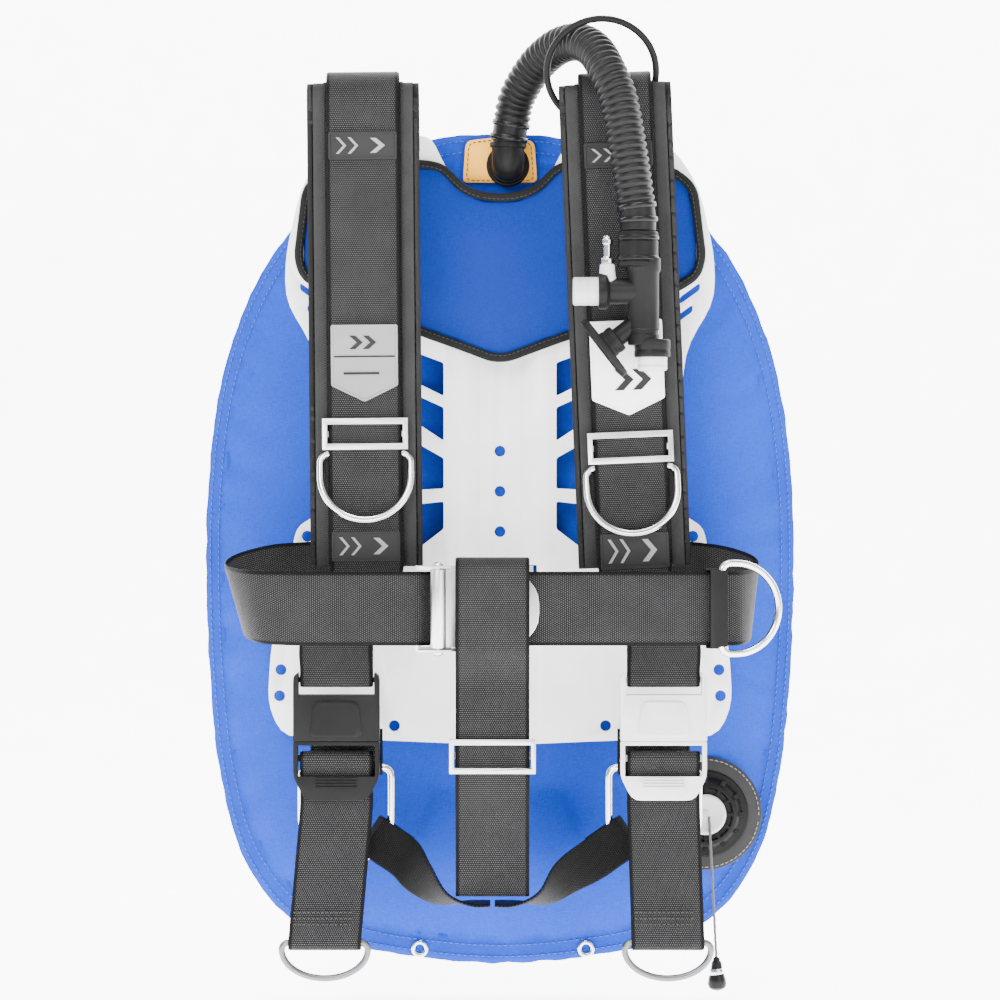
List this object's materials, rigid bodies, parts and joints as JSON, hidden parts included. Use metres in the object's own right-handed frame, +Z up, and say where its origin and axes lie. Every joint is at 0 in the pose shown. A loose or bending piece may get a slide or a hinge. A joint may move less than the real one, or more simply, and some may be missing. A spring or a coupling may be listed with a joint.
{
  "type": "buoyancy compensator vest",
  "caption": "Backplate and wing diving vest: air cell on a bent plate, padded shoulder straps, waist belt, crotch strap, inflator hose, dump valve and two tank bands.",
  "frame": {"origin": "middle of the tank pad's back face, where the cylinder bears", "axes": "+X to the right for someone facing the harness, +Y from the harness through the plate to the tank, +Z up"},
  "size_m": [0.41, 0.2561, 0.6652],
  "materials": {
    "cell_cloth": "woven nylon",
    "pad_cloth": "padded nylon",
    "inner_bag": "urethane film",
    "painted_plate": "white powder coat",
    "webbing": "woven nylon webbing",
    "mesh_padding": "spacer mesh",
    "steel": "polished stainless",
    "dark_steel": "dark coated",
    "black_plastic": "moulded",
    "light_plastic": "moulded",
    "soft_rubber": "matt",
    "white_rubber": "matt"
  },
  "bodies": {
    "vest": {"wing_front_panel": "cell_cloth", "wing_back_panel": "cell_cloth", "wing_bladder": "inner_bag", "wing_grommet_left": "steel", "wing_grommet_right": "steel", "wing_bolt_upper": "dark_steel", "wing_bolt_lower": "dark_steel", "tank_pad": "soft_rubber", "backplate": "painted_plate", "back_pad": "pad_cloth", "shoulder_pad_left": "mesh_padding", "shoulder_pad_right": "mesh_padding", "shoulder_webbing_left": "webbing", "shoulder_webbing_right": "webbing", "badge_left": "soft_rubber", "badge_right": "white_rubber", "buckle_female_left": "black_plastic", "buckle_female_right": "light_plastic", "waist_belt_left": "webbing", "waist_belt_right": "webbing", "waist_buckle_frame": "steel", "waist_ring_keeper": "black_plastic", "crotch_strap": "webbing", "hose_elbow": "black_plastic", "corrugated_hose": "soft_rubber", "inflator_body": "black_plastic", "inflator_nipple": "steel", "inflator_mouthpiece": "soft_rubber", "hose_keeper_ring": "black_plastic", "dump_valve_body": "black_plastic", "tank_band_upper": "webbing", "tank_band_lower": "webbing", "cam_buckle_upper": "steel", "cam_buckle_lower": "steel"},
    "chest_slider_left_body": {"chest_slider_left": "steel"},
    "chest_slider_right_body": {"chest_slider_right": "steel"},
    "chest_ring_left_body": {"chest_d_ring_left": "steel"},
    "chest_ring_right_body": {"chest_d_ring_right": "steel"},
    "waist_ring_body": {"waist_d_ring": "steel"},
    "buckle_lever_body": {"waist_buckle_lever": "steel"},
    "crotch_slider_body": {"crotch_slider": "steel"},
    "hip_left_body": {"buckle_male_left": "black_plastic", "lower_strap_left": "webbing", "hip_d_ring_left": "steel", "crotch_leg_left": "webbing"},
    "hip_right_body": {"buckle_male_right": "light_plastic", "lower_strap_right": "webbing", "hip_d_ring_right": "steel", "crotch_leg_right": "webbing"},
    "tail_ring_left_body": {"tail_ring_left": "dark_steel"},
    "tail_ring_right_body": {"tail_ring_right": "dark_steel"},
    "inflate_button_body": {"inflate_button": "light_plastic"},
    "exhaust_button_body": {"exhaust_button": "light_plastic"},
    "dump_pull_body": {"dump_valve_disc": "light_plastic", "dump_cord": "webbing", "dump_toggle": "black_plastic"},
    "cam_lever_upper_body": {"cam_lever_upper": "black_plastic"},
    "cam_lever_lower_body": {"cam_lever_lower": "black_plastic"}
  },
  "joints": [
    {"name": "chest_slide_left", "type": "slide", "parent": "vest", "child": "chest_slider_left_body", "axis": [-0.0087, 0, 1], "range_m": [-0.02, 0.007]},
    {"name": "chest_slide_right", "type": "slide", "parent": "vest", "child": "chest_slider_right_body", "axis": [-0.0419, 0, 0.9991], "range_m": [-0.018, 0.007]},
    {"name": "chest_ring_left", "type": "hinge", "parent": "chest_slider_left_body", "child": "chest_ring_left_body", "pos_m": [-0.09063, -0.096, -0.0178], "axis": [-1, 0, -0.0087], "range_deg": [0, 78]},
    {"name": "chest_ring_right", "type": "hinge", "parent": "chest_slider_right_body", "child": "chest_ring_right_body", "pos_m": [0.08835, -0.096, -0.02685], "axis": [-0.9991, 0, -0.0419], "range_deg": [0, 78]},
    {"name": "waist_ring_swing", "type": "hinge", "parent": "vest", "child": "waist_ring_body", "pos_m": [0.14705, -0.13665, -0.121], "axis": [0, 0, 1], "range_deg": [-70, 15]},
    {"name": "buckle_lever", "type": "hinge", "parent": "vest", "child": "buckle_lever_body", "pos_m": [-0.041, -0.148, -0.121], "axis": [0, 0, -1], "range_deg": [0, 6]},
    {"name": "crotch_slide", "type": "slide", "parent": "vest", "child": "crotch_slider_body", "axis": [0, 0, 1], "range_m": [0, 0.02]},
    {"name": "hip_clip_left", "type": "slide", "parent": "vest", "child": "hip_left_body", "axis": [0, 0, -1], "range_m": [0, 0.032]},
    {"name": "hip_clip_right", "type": "slide", "parent": "vest", "child": "hip_right_body", "axis": [0, 0, -1], "range_m": [0, 0.032]},
    {"name": "tail_swing_left", "type": "hinge", "parent": "hip_left_body", "child": "tail_ring_left_body", "pos_m": [-0.118, -0.0996, -0.347], "axis": [1, 0, 0], "range_deg": [-90, 90]},
    {"name": "tail_swing_right", "type": "hinge", "parent": "hip_right_body", "child": "tail_ring_right_body", "pos_m": [0.113, -0.0996, -0.347], "axis": [1, 0, 0], "range_deg": [-90, 90]},
    {"name": "inflate_press", "type": "slide", "parent": "vest", "child": "inflate_button_body", "axis": [1, 0, 0], "range_m": [0, 0.003], "stiffness_N_per_m": 500, "springref_m": -0.002},
    {"name": "exhaust_press", "type": "slide", "parent": "vest", "child": "exhaust_button_body", "axis": [0, 0, 1], "range_m": [0, 0.0035], "stiffness_N_per_m": 500, "springref_m": -0.002},
    {"name": "dump_pull", "type": "slide", "parent": "vest", "child": "dump_pull_body", "axis": [0, -1, 0], "range_m": [0, 0.004], "stiffness_N_per_m": 400, "springref_m": -0.003},
    {"name": "cam_swing_upper", "type": "hinge", "parent": "vest", "child": "cam_lever_upper_body", "pos_m": [-0.021, 0.0985, 0.128], "axis": [0, 0, 1], "range_deg": [0, 150]},
    {"name": "cam_swing_lower", "type": "hinge", "parent": "vest", "child": "cam_lever_lower_body", "pos_m": [-0.021, 0.0985, -0.121], "axis": [0, 0, 1], "range_deg": [0, 150]}
  ]
}
